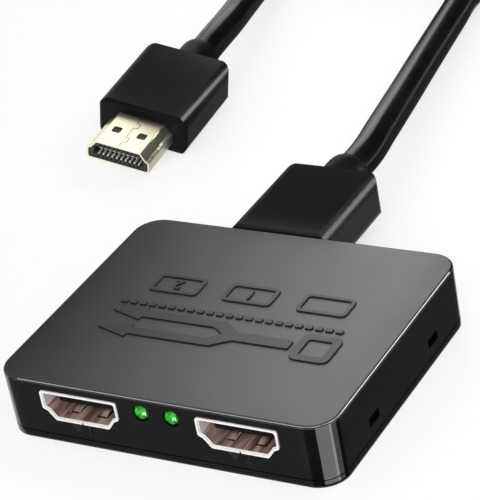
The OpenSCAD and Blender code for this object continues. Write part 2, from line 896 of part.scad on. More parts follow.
module plug_shell() {
    difference() {
        along_y(socket_outline(-plug_fit), -plug_nose, shell_in);
        along_y(socket_outline(-plug_fit - plug_shell_t), -plug_nose - eps, shell_in + eps);
        for (side = [-1, 1])
            translate([side * spring_x, latch_y - plug_nose, 0])
                linear_extrude(2 * opening_h, center = true)
                    rounded_square(latch_hole[0], latch_hole[1], latch_corner);
        shell_seam();
    }
}

module plug_contacts() {
    for (i = [0 : contact_count - 1]) {
        side = contact_side(i);
        face = tongue_z + side * slot_h / 2;
        low = side > 0 ? face - plug_contact_out : face - plug_contact_in;
        translate([contact_x(i) - contact_w / 2, 0, low])
            block([0, contact_recess - plug_nose, 0],
                  [contact_w, contact_end, plug_contact_out + plug_contact_in]);
    }
}

module plug_insulator() {
    slot_end = slot_spare - plug_gap - tongue_recess;
    slot_w = tongue_w + 2 * slot_side_gap;
    inside = opening_h / 2 - plug_fit - plug_shell_t;
    difference() {
        along_y(socket_outline(-plug_fit - plug_shell_t - insulator_fit), nose_recess - plug_nose, shell_in);
        block([-slot_w / 2, -plug_nose, tongue_z - slot_h / 2],
              [slot_w / 2, slot_end, tongue_z + slot_h / 2]);
        for (i = [0 : contact_count - 1])
            let (side = contact_side(i),
                 z = (tongue_z + side * slot_h / 2 + side * inside) / 2)
                translate([contact_x(i), nose_recess - plug_nose, z])
                    cube([window, 2 * window, window], center = true);
        plug_contacts();
    }
}

module plug_inner_mould() {
    translate([0, shell_in + mould_fit + mould_size[2] / 2, 0])
        cube([mould_size[0], mould_size[2], mould_size[1]], center = true);
}

module input_plug_body() { color("#232325") at_input_plug() plug_body(); }
module input_plug_shell() { color("#d9c79a") at_input_plug() plug_shell(); }
module input_plug_insulator() { color("#17171a") at_input_plug() plug_insulator(); }
module input_plug_contacts() { color("#d8b45c") at_input_plug() plug_contacts(); }
module input_plug_inner_mould() { color("#e8e6df") at_input_plug() plug_inner_mould(); }
module free_plug_body() { color("#232325") at_free_plug() plug_body(); }
module free_plug_shell() { color("#d9c79a") at_free_plug() plug_shell(); }
module free_plug_insulator() { color("#17171a") at_free_plug() plug_insulator(); }
module free_plug_contacts() { color("#d8b45c") at_free_plug() plug_contacts(); }
module free_plug_inner_mould() { color("#e8e6df") at_free_plug() plug_inner_mould(); }

// Points of the coil after a number of turns: inwards on the lower layer, a climb in the half turn
// where the spiral turns back, and outwards on the upper layer
function coil_point(turn) =
    let (r = coil_r - coil_step * min(turn, coil_turns - turn),
         climb = max(0, min(1, 2 * (turn - coil_turns / 2) + 0.5)),
         lift = coil_step * (1 - cos(180 * climb)) / 2)
    [coil_centre[0] + r * cos(360 * turn), coil_centre[1] + r * sin(360 * turn), coil_z + lift];
function coil_points(per_turn) = let (n = coil_turns * per_turn)
    concat([coil_in], [for (i = [0 : n]) coil_point(i / per_turn)], [coil_out]);

// Least distance between points of the coil that are more than half a turn apart, less the cord
function coil_gap(points, apart) =
    let (last = len(points) - 1)
    min([for (i = [0 : last - apart], j = [i + apart : last]) norm(points[i] - points[j])]) - cord_d;
function route_length(points) = [for (i = [1 : len(points) - 1]) norm(points[i] - points[i - 1])] *
    [for (i = [1 : len(points) - 1]) 1];

// Ring of points round place i of a route, square to the route there
function route_ring(points, i, sides) =
    let (n = len(points),
         way = points[min(i + 1, n - 1)] - points[max(i - 1, 0)],
         ahead = way / norm(way),
         across = cross([0, 0, 1], ahead) / norm(cross([0, 0, 1], ahead)),
         up = cross(ahead, across))
    [for (k = [0 : sides - 1])
        let (a = 360 * k / sides) points[i] + cord_r * (cos(a) * across + sin(a) * up)];

// Tube of the cord along a route, with triangle faces
module cord_tube(points, sides) {
    n = len(points);
    rings = [for (i = [0 : n - 1]) each route_ring(points, i, sides)];
    walls = [for (i = [0 : n - 2], k = [0 : sides - 1])
        let (a = i * sides + k, b = i * sides + (k + 1) % sides)
            each [[a, b + sides, b], [a, a + sides, b + sides]]];
    ends = [for (k = [1 : sides - 2])
        each [[0, k, k + 1], [(n - 1) * sides, (n - 1) * sides + k + 1, (n - 1) * sides + k]]];
    polyhedron(points = rings, faces = concat(walls, ends));
}

module cord_input_run() { color("#1d1d1f") cord_tube(input_route, run_sides); }
module cord_free_run() { color("#1d1d1f") cord_tube(free_route, run_sides); }
module cord_coil() { color("#1d1d1f") cord_tube(coil_points(coil_rings), coil_sides); }

// Strap round the coil where its turns lie two by two, on the side nearest the case
module coil_tie() {
    inner_turn = coil_r - coil_step * 1.75;
    outer_turn = coil_r - coil_step * 0.75;
    w = outer_turn - inner_turn + cord_d + 2 * tie_clear;
    h = coil_step + cord_d + 2 * coil_clear;
    translate([coil_centre[0], coil_centre[1] - (inner_turn + outer_turn) / 2, tie_t + h / 2])
        color("#2c2c2e")
            rotate([90, 0, 90])
                translate([0, 0, -tie_w / 2])
                    linear_extrude(tie_w) {
                        difference() {
                            rounded_square(w + 2 * tie_t, h + 2 * tie_t, tie_corner + tie_t);
                            rounded_square(w, h, tie_corner);
                        }
                        translate([-w / 2 + tie_corner, h / 2 + tie_t])
                            square([w / 2, tie_t]);
                    }
}

echo(case_height = case_h);
echo(coil_gap = coil_gap(coil_points(measure_rings), measure_rings / 2));
echo(cord_length = route_length(input_route) + route_length(coil_points(measure_rings))
    + route_length(free_route));

top_case();
bottom_cover();
main_board();
output_1_shell();
output_1_insulator();
output_1_contacts();
output_2_shell();
output_2_insulator();
output_2_contacts();
input_shell();
input_insulator();
input_contacts();
power_shell();
power_insulator();
power_contacts();
status_lamp_1();
status_lamp_2();
lamp_leads();
splitter_chip();
splitter_chip_leads();
memory_chip();
memory_chip_leads();
voltage_regulator();
regulator_leads();
crystal();
capacitor_cans();
capacitor_bases();
ceramic_capacitors();
chip_resistors();
surge_arrays();
input_plug_body();
input_plug_shell();
input_plug_insulator();
input_plug_contacts();
input_plug_inner_mould();
free_plug_body();
free_plug_shell();
free_plug_insulator();
free_plug_contacts();
free_plug_inner_mould();
cord_input_run();
cord_coil();
cord_free_run();
coil_tie();
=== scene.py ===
import math
import bmesh
import bpy
from mathutils import Matrix, Vector


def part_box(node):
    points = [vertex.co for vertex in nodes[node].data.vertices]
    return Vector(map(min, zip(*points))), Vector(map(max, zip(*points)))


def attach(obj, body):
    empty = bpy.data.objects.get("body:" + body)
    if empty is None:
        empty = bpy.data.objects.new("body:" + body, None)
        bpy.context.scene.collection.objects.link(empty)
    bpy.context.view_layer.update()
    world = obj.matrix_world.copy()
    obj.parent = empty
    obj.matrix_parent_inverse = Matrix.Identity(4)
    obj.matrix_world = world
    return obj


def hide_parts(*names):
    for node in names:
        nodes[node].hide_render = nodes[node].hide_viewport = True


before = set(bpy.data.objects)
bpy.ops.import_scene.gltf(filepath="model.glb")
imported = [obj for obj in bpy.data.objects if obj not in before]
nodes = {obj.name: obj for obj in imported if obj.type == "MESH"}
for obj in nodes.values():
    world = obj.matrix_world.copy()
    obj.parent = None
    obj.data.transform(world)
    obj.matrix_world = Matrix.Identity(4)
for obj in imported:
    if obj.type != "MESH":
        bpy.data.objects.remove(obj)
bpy.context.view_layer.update()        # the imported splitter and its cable, at rest
mm = 0.001


def link(obj):
    bpy.context.scene.collection.objects.link(obj)
    return obj


def meshObject(name, build, material):
    mesh = bpy.data.meshes.new(name)
    build.to_mesh(mesh)
    build.free()
    mesh.materials.append(material)
    return link(bpy.data.objects.new(name, mesh))


# camera, where the photograph was taken from
cameraView = {
    "place": (190.601, -275.196, 217.867),   # millimetres from the case's underside
    "azimuth": 34.026,                       # degrees right of the front
    "elevation": 30.088,
    "roll": 11.208,                          # the picture leans this far clockwise
    "lens": 165.894,                         # millimetres, on a frame this wide
    "frameWidth": 36,
    "clip": (0.01, 20),                      # metres
}


def makeCamera(view):
    data = bpy.data.cameras.new("photoCamera")
    data.lens = view["lens"]
    data.sensor_width = view["frameWidth"]
    data.clip_start, data.clip_end = view["clip"]
    camera = link(bpy.data.objects.new("photoCamera", data))
    turn = Matrix.Rotation(math.radians(view["azimuth"]), 4, "Z")
    tilt = Matrix.Rotation(math.radians(90 - view["elevation"]), 4, "X")
    lean = Matrix.Rotation(math.radians(-view["roll"]), 4, "Z")
    camera.matrix_world = Matrix.Translation(Vector(view["place"]) * mm) @ turn @ tilt @ lean
    bpy.context.scene.camera = camera


makeCamera(cameraView)
print("camera set")


# finishes: every one has mottled colour, uneven gloss and a fine relief
def newMaterial(name):
    material = bpy.data.materials.new(name)
    material.use_nodes = True
    return material, material.node_tree


def addNode(tree, kind, **inputs):
    node = tree.nodes.new(kind)
    for key, value in inputs.items():
        node.inputs[key].default_value = value
    return node


def ranged(tree, source, low, high, fromLow=0.35, fromHigh=0.65):     # noise seldom leaves that range
    limits = {"From Min": fromLow, "From Max": fromHigh, "To Min": low, "To Max": high}
    node = addNode(tree, "ShaderNodeMapRange", **limits)
    tree.links.new(source, node.inputs["Value"])
    return node.outputs["Result"]


def mixed(tree, factor, first, second):
    node = tree.nodes.new("ShaderNodeMix")
    node.data_type = "RGBA"
    tree.links.new(factor, node.inputs["Factor"])
    node.inputs[6].default_value = (*first, 1)      # the colour sockets have no names of their own
    node.inputs[7].default_value = (*second, 1)
    return node.outputs[2]


def noise(tree, size, stretch, detail):
    place = tree.nodes.new("ShaderNodeTexCoord")
    mapping = addNode(tree, "ShaderNodeMapping", Scale=[1 / (size * mm * s) for s in stretch])
    tree.links.new(place.outputs["Object"], mapping.inputs["Vector"])
    node = addNode(tree, "ShaderNodeTexNoise", Scale=1.0, Detail=detail)
    tree.links.new(mapping.outputs["Vector"], node.inputs["Vector"])
    return node.outputs["Fac"]


texture = {"mottleDetail": 3.0, "grainDetail": 2.0, "bump": 0.5}


def surface(name, look):
    material, tree = newMaterial(name)
    shader = tree.nodes["Principled BSDF"]
    shader.inputs["Metallic"].default_value = look.get("metallic", 0)
    shader.inputs["Specular IOR Level"].default_value = look.get("specular", 0.5)
    stretch = look.get("stretch", (1, 1, 1))
    patches = noise(tree, look["mottle"], stretch, texture["mottleDetail"])
    colour = mixed(tree, ranged(tree, patches, 0, 1), look["dark"], look["light"])
    tree.links.new(colour, shader.inputs["Base Color"])
    tree.links.new(ranged(tree, patches, *look["roughness"]), shader.inputs["Roughness"])
    bump = addNode(tree, "ShaderNodeBump", Strength=texture["bump"], Distance=look["relief"] * mm)
    tree.links.new(noise(tree, look["grain"], stretch, texture["grainDetail"]), bump.inputs["Height"])
    tree.links.new(bump.outputs["Normal"], shader.inputs["Normal"])
    if "glow" in look:
        tree.links.new(colour, shader.inputs["Emission Color"])
        shader.inputs["Emission Strength"].default_value = look["glow"]
    return material


looks = {                # mottle, grain and relief are in millimetres
    "caseTop": {"dark": (0.013, 0.013, 0.0134), "light": (0.016, 0.016, 0.0164), "roughness": (0.36, 0.40),
                "mottle": 9, "grain": 0.22, "relief": 0.005},
    "caseMark": {"dark": (0.013, 0.013, 0.0135), "light": (0.017, 0.017, 0.0175), "roughness": (0.42, 0.48),
                 "specular": 0.36, "mottle": 4, "grain": 0.2, "relief": 0.005},
    "caseSide": {"dark": (0.004, 0.004, 0.0042), "light": (0.006, 0.006, 0.0063), "roughness": (0.08, 0.12),
                 "mottle": 6, "grain": 2.5, "relief": 0.002},
    "coverBlack": {"dark": (0.004, 0.004, 0.0042), "light": (0.006, 0.006, 0.0063), "roughness": (0.12, 0.18),
                   "mottle": 5, "grain": 1.5, "relief": 0.002},
    "boardGreen": {"dark": (0.010, 0.075, 0.032), "light": (0.018, 0.120, 0.050), "roughness": (0.30, 0.42),
                   "mottle": 3, "grain": 0.5, "relief": 0.02},
    "socketNickel": {"dark": (0.70, 0.67, 0.65), "light": (0.86, 0.84, 0.82), "roughness": (0.20, 0.32),
                     "metallic": 1, "mottle": 1.6, "grain": 0.3, "relief": 0.004},
    "socketInside": {"dark": (0.26, 0.13, 0.11), "light": (0.82, 0.58, 0.52), "roughness": (0.30, 0.44),
                     "metallic": 0.45, "mottle": 0.9, "grain": 0.3, "relief": 0.006, "stretch": (1, 12, 12)},
    "socketEnd": {"dark": (0.66, 0.63, 0.59), "light": (0.84, 0.80, 0.75), "roughness": (0.40, 0.50),
                  "metallic": 0.2, "mottle": 1.2, "grain": 0.3, "relief": 0.004, "stretch": (12, 1, 12)},
    # near-white painted highlight along the sockets' rims
    "rimPaintedHighlight": {"dark": (0.93, 0.92, 0.91), "light": (0.97, 0.965, 0.96), "roughness": (0.24, 0.34),
               "metallic": 0.1, "mottle": 1.2, "grain": 0.3, "relief": 0.004},
    # near-black painted shade for the snap windows' walls and the cover's hooks
    "windowPaintedShade": {"dark": (0.002, 0.002, 0.002), "light": (0.003, 0.003, 0.003), "roughness": (0.70, 0.80),
                    "specular": 0.05, "mottle": 2, "grain": 0.3, "relief": 0.005},
    "insulatorBlack": {"dark": (0.003, 0.003, 0.003), "light": (0.006, 0.006, 0.006),
                       "roughness": (0.42, 0.55), "specular": 0.2,
                       "mottle": 1.5, "grain": 0.2, "relief": 0.01},
    "noseGrey": {"dark": (0.034, 0.032, 0.034), "light": (0.048, 0.045, 0.048), "roughness": (0.45, 0.58),
                 "specular": 0.3, "mottle": 1.5, "grain": 0.2, "relief": 0.01},
    "contactGold": {"dark": (0.78, 0.62, 0.34), "light": (0.95, 0.84, 0.58), "roughness": (0.18, 0.30),
                    "metallic": 1, "mottle": 1, "grain": 0.2, "relief": 0.004},
    "contactBright": {"dark": (0.84, 0.81, 0.74), "light": (0.95, 0.93, 0.87), "roughness": (0.24, 0.34),
                      "metallic": 0.2, "mottle": 1, "grain": 0.2, "relief": 0.004},
    "lampGreen": {"dark": (0.008, 0.30, 0.009), "light": (0.020, 0.48, 0.018), "roughness": (0.06, 0.12),
                  "specular": 0.6, "glow": 0.25, "mottle": 0.7, "grain": 0.6, "relief": 0.004},
    # painted dark reflection and painted glint for the lens facets
    "lampPaintedDarkFacet": {"dark": (0.004, 0.10, 0.006), "light": (0.012, 0.20, 0.012), "roughness": (0.06, 0.12),
                 "specular": 0.8, "glow": 0.1, "mottle": 0.7, "grain": 0.6, "relief": 0.004},
    "lampPaintedGlint": {"dark": (0.20, 0.76, 0.20), "light": (0.52, 0.93, 0.50), "roughness": (0.06, 0.12),
                  "specular": 0.8, "glow": 0.25, "mottle": 0.7, "grain": 0.6, "relief": 0.004},
    "tinnedLead": {"dark": (0.58, 0.58, 0.58), "light": (0.74, 0.74, 0.73), "roughness": (0.30, 0.46),
                   "metallic": 1, "mottle": 0.8, "grain": 0.2, "relief": 0.01},
    "chipEpoxy": {"dark": (0.014, 0.014, 0.015), "light": (0.022, 0.022, 0.023), "roughness": (0.50, 0.62),
                  "mottle": 2, "grain": 0.15, "relief": 0.015},
    "canAluminium": {"dark": (0.62, 0.63, 0.65), "light": (0.76, 0.77, 0.78), "roughness": (0.26, 0.36),
                     "metallic": 1, "mottle": 2, "grain": 0.3, "relief": 0.006, "stretch": (1, 1, 0.2)},
    "ceramicTan": {"dark": (0.34, 0.22, 0.11), "light": (0.46, 0.31, 0.17), "roughness": (0.40, 0.52),
                   "mottle": 0.7, "grain": 0.2, "relief": 0.01},
    "plugRubber": {"dark": (0.004, 0.004, 0.0042), "light": (0.006, 0.006, 0.0062), "roughness": (0.38, 0.44),
                   "specular": 0.11, "mottle": 4, "grain": 0.25, "relief": 0.006},
    "shellGold": {"dark": (0.92, 0.84, 0.60), "light": (0.98, 0.94, 0.74), "roughness": (0.26, 0.32),
                  "metallic": 1, "mottle": 5, "grain": 0.8, "relief": 0.001},
    "innerMould": {"dark": (0.66, 0.64, 0.58), "light": (0.76, 0.74, 0.69), "roughness": (0.40, 0.52),
                   "mottle": 3, "grain": 0.4, "relief": 0.02},
    "cordSheath": {"dark": (0.003, 0.003, 0.0031), "light": (0.005, 0.005, 0.0052), "roughness": (0.20, 0.26),
                   "specular": 0.36, "mottle": 5, "grain": 0.35, "relief": 0.008},
    "strapWeave": {"dark": (0.012, 0.012, 0.013), "light": (0.030, 0.030, 0.032), "roughness": (0.70, 0.85),
                   "specular": 0.3, "mottle": 0.5, "grain": 0.3, "relief": 0.12, "stretch": (1, 3, 3)},
}
finishes = {name: surface(name, look) for name, look in looks.items()}
print("finishes: %d" % len(finishes))


def dress(finish, *names):
    for name in names:
        mesh = nodes[name].data
        mesh.materials.clear()
        mesh.materials.append(finishes[finish])


videoSockets = ("output_1", "output_2", "input")
rearSockets = ("input", "power")
plugNames = ("input_plug", "free_plug")
dress("caseSide", "top_case")
dress("coverBlack", "bottom_cover")
dress("boardGreen", "main_board")
dress("socketNickel", "power_shell", *[s + "_shell" for s in videoSockets])
dress("insulatorBlack", "power_insulator", *[s + "_insulator" for s in videoSockets])
dress("noseGrey", *[p + "_insulator" for p in plugNames])
dress("contactGold", "power_contacts", *[s + "_contacts" for s in videoSockets])
dress("contactBright", *[p + "_contacts" for p in plugNames])
dress("tinnedLead", "lamp_leads", "splitter_chip_leads", "memory_chip_leads", "regulator_leads", "crystal")
dress("chipEpoxy", "splitter_chip", "memory_chip", "voltage_regulator", "capacitor_bases", "chip_resistors",
      "surge_arrays")
dress("canAluminium", "capacitor_cans")
dress("ceramicTan", "ceramic_capacitors")
dress("plugRubber", *[p + "_body" for p in plugNames])
dress("shellGold", *[p + "_shell" for p in plugNames])
dress("innerMould", *[p + "_inner_mould" for p in plugNames])


def repaint(name, finish, chosen):
    mesh = nodes[name].data
    mesh.materials.append(finishes[finish])
    for face in mesh.polygons:
        if chosen(face):
            face.material_index = len(mesh.materials) - 1


# sockets: a rim painted near-white as a painted highlight, dull ends and a coppery inside
socketPaint = {"rimDepth": 0.6, "highlightDepth": 0.3, "square": 0.5, "end": 0.8}     # millimetres, then cosines


def dressSocket(name, paint):
    low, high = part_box(name + "_shell")
    rear = name in rearSockets
    out = 1 if rear else -1
    mouth = high.y if rear else low.y
    middle = (low + high) / 2

    def onRim(face, depth):
        return face.normal.y * out > -paint["square"] and abs(face.center.y - mouth) < depth * mm

    def inward(face):
        way = middle - face.center
        return way.x * face.normal.x + way.z * face.normal.z > 0 and abs(face.normal.y) < paint["square"]

    def inside(face):
        return inward(face) and abs(face.normal.z) > paint["square"]

    def onEnd(face):
        return inward(face) and abs(face.normal.x) > paint["end"]

    repaint(name + "_shell", "socketInside", inside)
    repaint(name + "_shell", "socketEnd", lambda face: onEnd(face) or onRim(face, paint["rimDepth"]))
    # the front of the rim is painted near-white, a painted highlight
    repaint(name + "_shell", "rimPaintedHighlight", lambda face: onRim(face, paint["highlightDepth"]))


for socketName in videoSockets + ("power",):
    dressSocket(socketName, socketPaint)

# case: the lid is duller than the sides, and the hooks and walls in the snap windows are painted near-black
# as painted shade
caseLow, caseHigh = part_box("top_case")
lidTop = caseHigh.z
caseCorner = 5           # radius of the case's upright corners
lidFace = {"level": 0.98, "depth": 0.1}                  # a cosine, then millimetres
snapWindow = {"y": 11.6, "width": 3.7, "z": (3.4, 5.15), "depth": 4, "spare": 0.3, "wall": 0.5}


def onLid(face):
    return face.normal.z > lidFace["level"] and face.center.z > lidTop - lidFace["depth"] * mm


def inSnapWindow(face):
    s = snapWindow
    x, y, z = face.center / mm
    atSide = abs(x) > caseHigh.x / mm - s["depth"] and abs(abs(y) - s["y"]) < s["width"] / 2 + s["spare"]
    return atSide and s["z"][0] - s["spare"] < z < s["z"][1] + s["spare"]


def onWindowWall(face):
    return inSnapWindow(face) and abs(face.normal.x) < snapWindow["wall"]


repaint("top_case", "caseTop", onLid)
# the windows' walls and the cover's hooks are painted near-black, painted shade
repaint("top_case", "windowPaintedShade", onWindowWall)
repaint("bottom_cover", "windowPaintedShade", inSnapWindow)
print("nodes dressed")


# raised marks: flat outlines, thickened with a soft edge
def rounded(points, radius, steps=4):
    line = []
    for i, point in enumerate(points):
        corner = Vector(point)
        back = Vector(points[i - 1]) - corner
        ahead = Vector(points[(i + 1) % len(points)]) - corner
        reach = min(radius, back.length / 2, ahead.length / 2)
        start = corner + back.normalized() * reach
        end = corner + ahead.normalized() * reach
        for k in range(steps + 1):
            f = k / steps
            line.append((1 - f) ** 2 * start + 2 * f * (1 - f) * corner + f ** 2 * end)
    return line


def boxOutline(x, y, width, height, radius):
    w, h = width / 2, height / 2
    return rounded([(x - w, y - h), (x + w, y - h), (x + w, y + h), (x - w, y + h)], radius)


def meshFromCurve(name, data, matrix, material):
    source = link(bpy.data.objects.new(name + "Curve", data))
    bpy.context.view_layer.update()
    mesh = bpy.data.meshes.new_from_object(source.evaluated_get(bpy.context.evaluated_depsgraph_get()))
    bpy.data.objects.remove(source)
    bpy.data.curves.remove(data)
    mesh.transform(matrix)
    mesh.materials.clear()
    mesh.materials.append(material)
    mesh.name = name
    return link(bpy.data.objects.new(name, mesh))


def thicken(data, height, edge):
    data.extrude = (height / 2 - edge) * mm
    data.bevel_depth = edge * mm
    data.bevel_resolution = 2


def plate(name, outlines, height, edge, matrix, material):
    data = bpy.data.curves.new(name, "CURVE")
    data.dimensions = "2D"
    data.fill_mode = "BOTH"
    thicken(data, height, edge)
    for outline in outlines:
        spline = data.splines.new("POLY")
        spline.points.add(len(outline) - 1)
        for knot, point in zip(spline.points, outline):
            knot.co = (point[0] * mm, point[1] * mm, 0, 1)
        spline.use_cyclic_u = True
    return meshFromCurve(name, data, matrix, material)


def numeral(name, digit, size, height, edge, matrix, material):
    data = bpy.data.curves.new(name, "FONT")
    data.body = digit
    data.size = size * mm
    data.align_x = data.align_y = "CENTER"
    thicken(data, height, edge)
    return meshFromCurve(name, data, matrix, material)


def onCase(obj):
    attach(obj, "splitter")


# the lid's marks read from the rear: one source, forked to two screens
lidMarks = {
    "height": 0.4, "sunk": 0.12, "edge": 0.06,           # the sunk part roots them in the lid
    "forkPlace": (-23.5, 6.1), "forkLength": 45, "forkSpread": 2.65, "forkStroke": 0.95, "forkTrunk": 1.2,
    "forkSplit": (19, 22.4), "forkCrotch": (2.4, 1.5),   # where the outer edges part, and the inner ones' lag
    "forkHead": (6.5, 1.95), "forkCorner": 0.4,
    "forkBox": 7.4, "forkBoxStroke": 1.4, "forkBoxCorners": (1.6, 0.6), "forkBoxGap": 1,
    "ruleY": 0.5, "ruleX": (-22.5, 22), "dash": (1.3, 0.95), "dashGap": 0.62, "dashCorner": 0.25,
    "screenY": -6.3, "screens": (-15.6, -1, 13.6), "screenSize": (9.6, 5.3), "screenStroke": 0.62,
    "screenCorners": (1.1, 0.7), "numeralSize": 3.6, "numeralEdge": 0.03,
}


def forkOutlines(m):
    x0, y0 = m["forkPlace"]
    headLength, headHalf = m["forkHead"]
    prong, stroke, trunk = m["forkSpread"], m["forkStroke"], m["forkTrunk"]
    split, spread = m["forkSplit"]
    splitLag, spreadLag = m["forkCrotch"]
    tip = m["forkLength"]
    neck = tip - headLength
    head = [(neck, prong - stroke), (neck, prong - headHalf), (tip, prong), (neck, prong + headHalf)]
    upper = head + [(neck, prong + stroke), (spread, prong + stroke), (split, trunk)]
    lower = [(x, -y) for x, y in upper[::-1]]
    inside = spread + spreadLag
    crotch = [(inside, stroke - prong), (split + splitLag, 0), (inside, prong - stroke)]
    outer = m["forkBox"]
    inner = outer - 2 * m["forkBoxStroke"]
    start = outer + m["forkBoxGap"]
    line = [(start, trunk), (start, -trunk)] + lower + crotch + upper
    outlines = [rounded([(x0 + x, y0 + y) for x, y in line], m["forkCorner"])]
    for size, corner in zip((outer, inner), m["forkBoxCorners"]):
        outlines.append(boxOutline(x0 + outer / 2, y0, size, size, corner))
    return outlines


def ruleOutlines(m):
    low, high = m["ruleX"]
    step = m["dash"][0] + m["dashGap"]
    places = [low + step * (i + 0.5) for i in range(int((high - low) / step))]
    return [boxOutline(x, m["ruleY"], *m["dash"], m["dashCorner"]) for x in places]


def screenOutlines(m):
    width, height = m["screenSize"]
    outlines = []
    for x in m["screens"]:
        for inset, corner in zip((0, 2 * m["screenStroke"]), m["screenCorners"]):
            outlines.append(boxOutline(x, m["screenY"], width - inset, height - inset, corner))
    return outlines


def makeLidMarks(m):
    z = lidTop + (m["height"] / 2 - m["sunk"]) * mm
    readable = Matrix.Translation((0, 0, z)) @ Matrix.Rotation(math.pi, 4, "Z")
    finish = finishes["caseMark"]
    marks = {"lidFork": forkOutlines(m), "lidRule": ruleOutlines(m), "lidScreens": screenOutlines(m)}
    for name, outlines in marks.items():
        onCase(plate(name, outlines, m["height"], m["edge"], readable, finish))
    for digit, x in zip("12", m["screens"][1:]):
        place = readable @ Matrix.Translation((x * mm, m["screenY"] * mm, 0))
        onCase(numeral("lidNumeral" + digit, digit, m["numeralSize"], m["height"], m["numeralEdge"], place,
                       finish))


makeLidMarks(lidMarks)

# a plain number and a pointer under each output
outputMarks = {
    "height": 0.3, "sunk": 0.12, "edge": 0.04, "z": 3.55, "gap": 2.4,
    "numeralSize": 2.6, "pointer": (2.2, 1.6), "pointerCorner": 0.3,
}


def makeOutputMarks(m):
    upright = Matrix.Rotation(math.pi / 2, 4, "X")
    w, h = m["pointer"]
    pointer = rounded([(-w / 2, h / 2), (w / 2, h / 2), (0, -h / 2)], m["pointerCorner"])
    y = caseLow.y - (m["height"] / 2 - m["sunk"]) * mm
    half = m["gap"] / 2 * mm
    finish = finishes["caseTop"]

    def standing(x):
        return Matrix.Translation((x, y, m["z"] * mm)) @ upright

    for digit in "12":
        low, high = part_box("output_%s_shell" % digit)
        middle = (low.x + high.x) / 2
        onCase(numeral("outputNumeral" + digit, digit, m["numeralSize"], m["height"], m["edge"],
                       standing(middle + half), finish))
        onCase(plate("outputPointer" + digit, [pointer], m["height"], m["edge"],
                     standing(middle - half), finish))


makeOutputMarks(outputMarks)
print("marks raised")

# lamps: cut lenses, with a flat table and a crown of facets in a mid green, painted dark reflections and
# painted glints
lampCut = {
    "facets": 8,
    "rings": [(0.62, 0, 0), (1.12, 0.22, 0.5), (1.42, 0.62, 0), (1.5, 1.1, 0)],   # radius, depth, turn
    "greens": ("lampGreen", "lampPaintedDarkFacet", "lampPaintedGlint"),
    "crown": (2, 0, 1, 0, 0, 1, 0, 1),       # which green round the lens: 0 the mid green, 1 the painted dark facet, 2 the painted glint
    "girdle": (1, 0, 1, 0, 0, 1, 1, 1),
    "seam": 0.25,                            # in facets, keeps the seams between two greens off the middles
}


def facetGreen(cut, face, middle):
    way = face.calc_center_median() - middle
    reach = math.hypot(way.x, way.z) / mm
    turn = math.atan2(way.z, way.x) / (2 * math.pi) % 1
    facet = int(turn * cut["facets"] + cut["seam"]) % cut["facets"]
    if reach < cut["rings"][0][0] / 2:
        return 0
    return cut["crown"][facet] if reach < cut["rings"][1][0] else cut["girdle"][facet]


def makeLamp(name, cut):
    low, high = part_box(name)
    middle = (low + high) / 2
    build = bmesh.new()
    count = cut["facets"]
    rear = (cut["rings"][-1][0], (high.y - low.y) / mm, 0)
    for radius, depth, turn in cut["rings"] + [rear]:
        for i in range(count):
            angle = 2 * math.pi * (i + turn) / count
            build.verts.new((middle.x + radius * mm * math.cos(angle), low.y + depth * mm,
                             middle.z + radius * mm * math.sin(angle)))
    bmesh.ops.convex_hull(build, input=build.verts)
    bmesh.ops.recalc_face_normals(build, faces=build.faces)
    for face in build.faces:
        # each facet gets the mid green, a painted dark reflection or a painted glint
        face.material_index = facetGreen(cut, face, middle)
    lens = meshObject(name + ".lens", build, finishes[cut["greens"][0]])
    for green in cut["greens"][1:]:
        lens.data.materials.append(finishes[green])
    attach(lens, "splitter")
    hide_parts(name)


for lampName in ("status_lamp_1", "status_lamp_2"):
    makeLamp(lampName, lampCut)
print("lamps cut")

# cord: one length from plug to plug, with the spare wound in two layers
freePlug = {"place": (-58, 66.6, 6.208), "yaw": 3.5, "pitch": 3}
cord = {
    "diameter": 6.6,
    "plugLength": 29.4,                 # moulded body and collar
    "straight": 7,                      # what the collar keeps straight
    "inputTail": (-5, 56.6, 7.395),
    "inputRun": [(-6.3, 73, 7.2), (-7.8, 82, 6.7), (-9.6, 92, 6), (-11.8, 104, 5.2), (-13.8, 116, 4.6),
                 (-15.6, 128, 4.2), (-16.9, 139, 4), (-15.2, 150, 3.95), (-10.1, 161, 3.95),
                 (-4.3, 172, 3.95)],
    "freeRun": [(-61.3, 111, 7.8), (-63.4, 120, 6.9), (-65.7, 130, 5.9), (-67.9, 141, 5.1),
                (-72.2, 152, 5.4), (-78.8, 163, 7), (-84.4, 173, 9.2)],
    "coilCentre": (-44, 194), "coilRadius": 43.5, "coilTurns": 4.5, "coilStep": 7.2, "coilHeight": 3.95,
    "climbTurns": 0.5,                  # how long the climb to the upper layer takes
    "turnPoints": 24, "bevelSteps": 8, "curveSteps": 6,
}


def freePlugFrame(plug):
    turn = Matrix.Rotation(math.radians(plug["yaw"]), 4, "Z")
    tilt = Matrix.Rotation(math.radians(plug["pitch"]), 4, "X")
    return Matrix.Translation(Vector(plug["place"])) @ turn @ tilt


def coilPoints(c):
    points = []
    for i in range(int(c["coilTurns"] * c["turnPoints"]) + 1):
        turn = i / c["turnPoints"]
        radius = c["coilRadius"] - c["coilStep"] * min(turn, c["coilTurns"] - turn)
        climb = max(0, min(1, (turn - c["coilTurns"] / 2) / c["climbTurns"] + 0.5))
        lift = c["coilStep"] * (1 - math.cos(math.pi * climb)) / 2
        angle = 2 * math.pi * turn
        x = c["coilCentre"][0] + radius * math.cos(angle)
        y = c["coilCentre"][1] + radius * math.sin(angle)
        points.append(Vector((x, y, c["coilHeight"] + lift)))
    return points


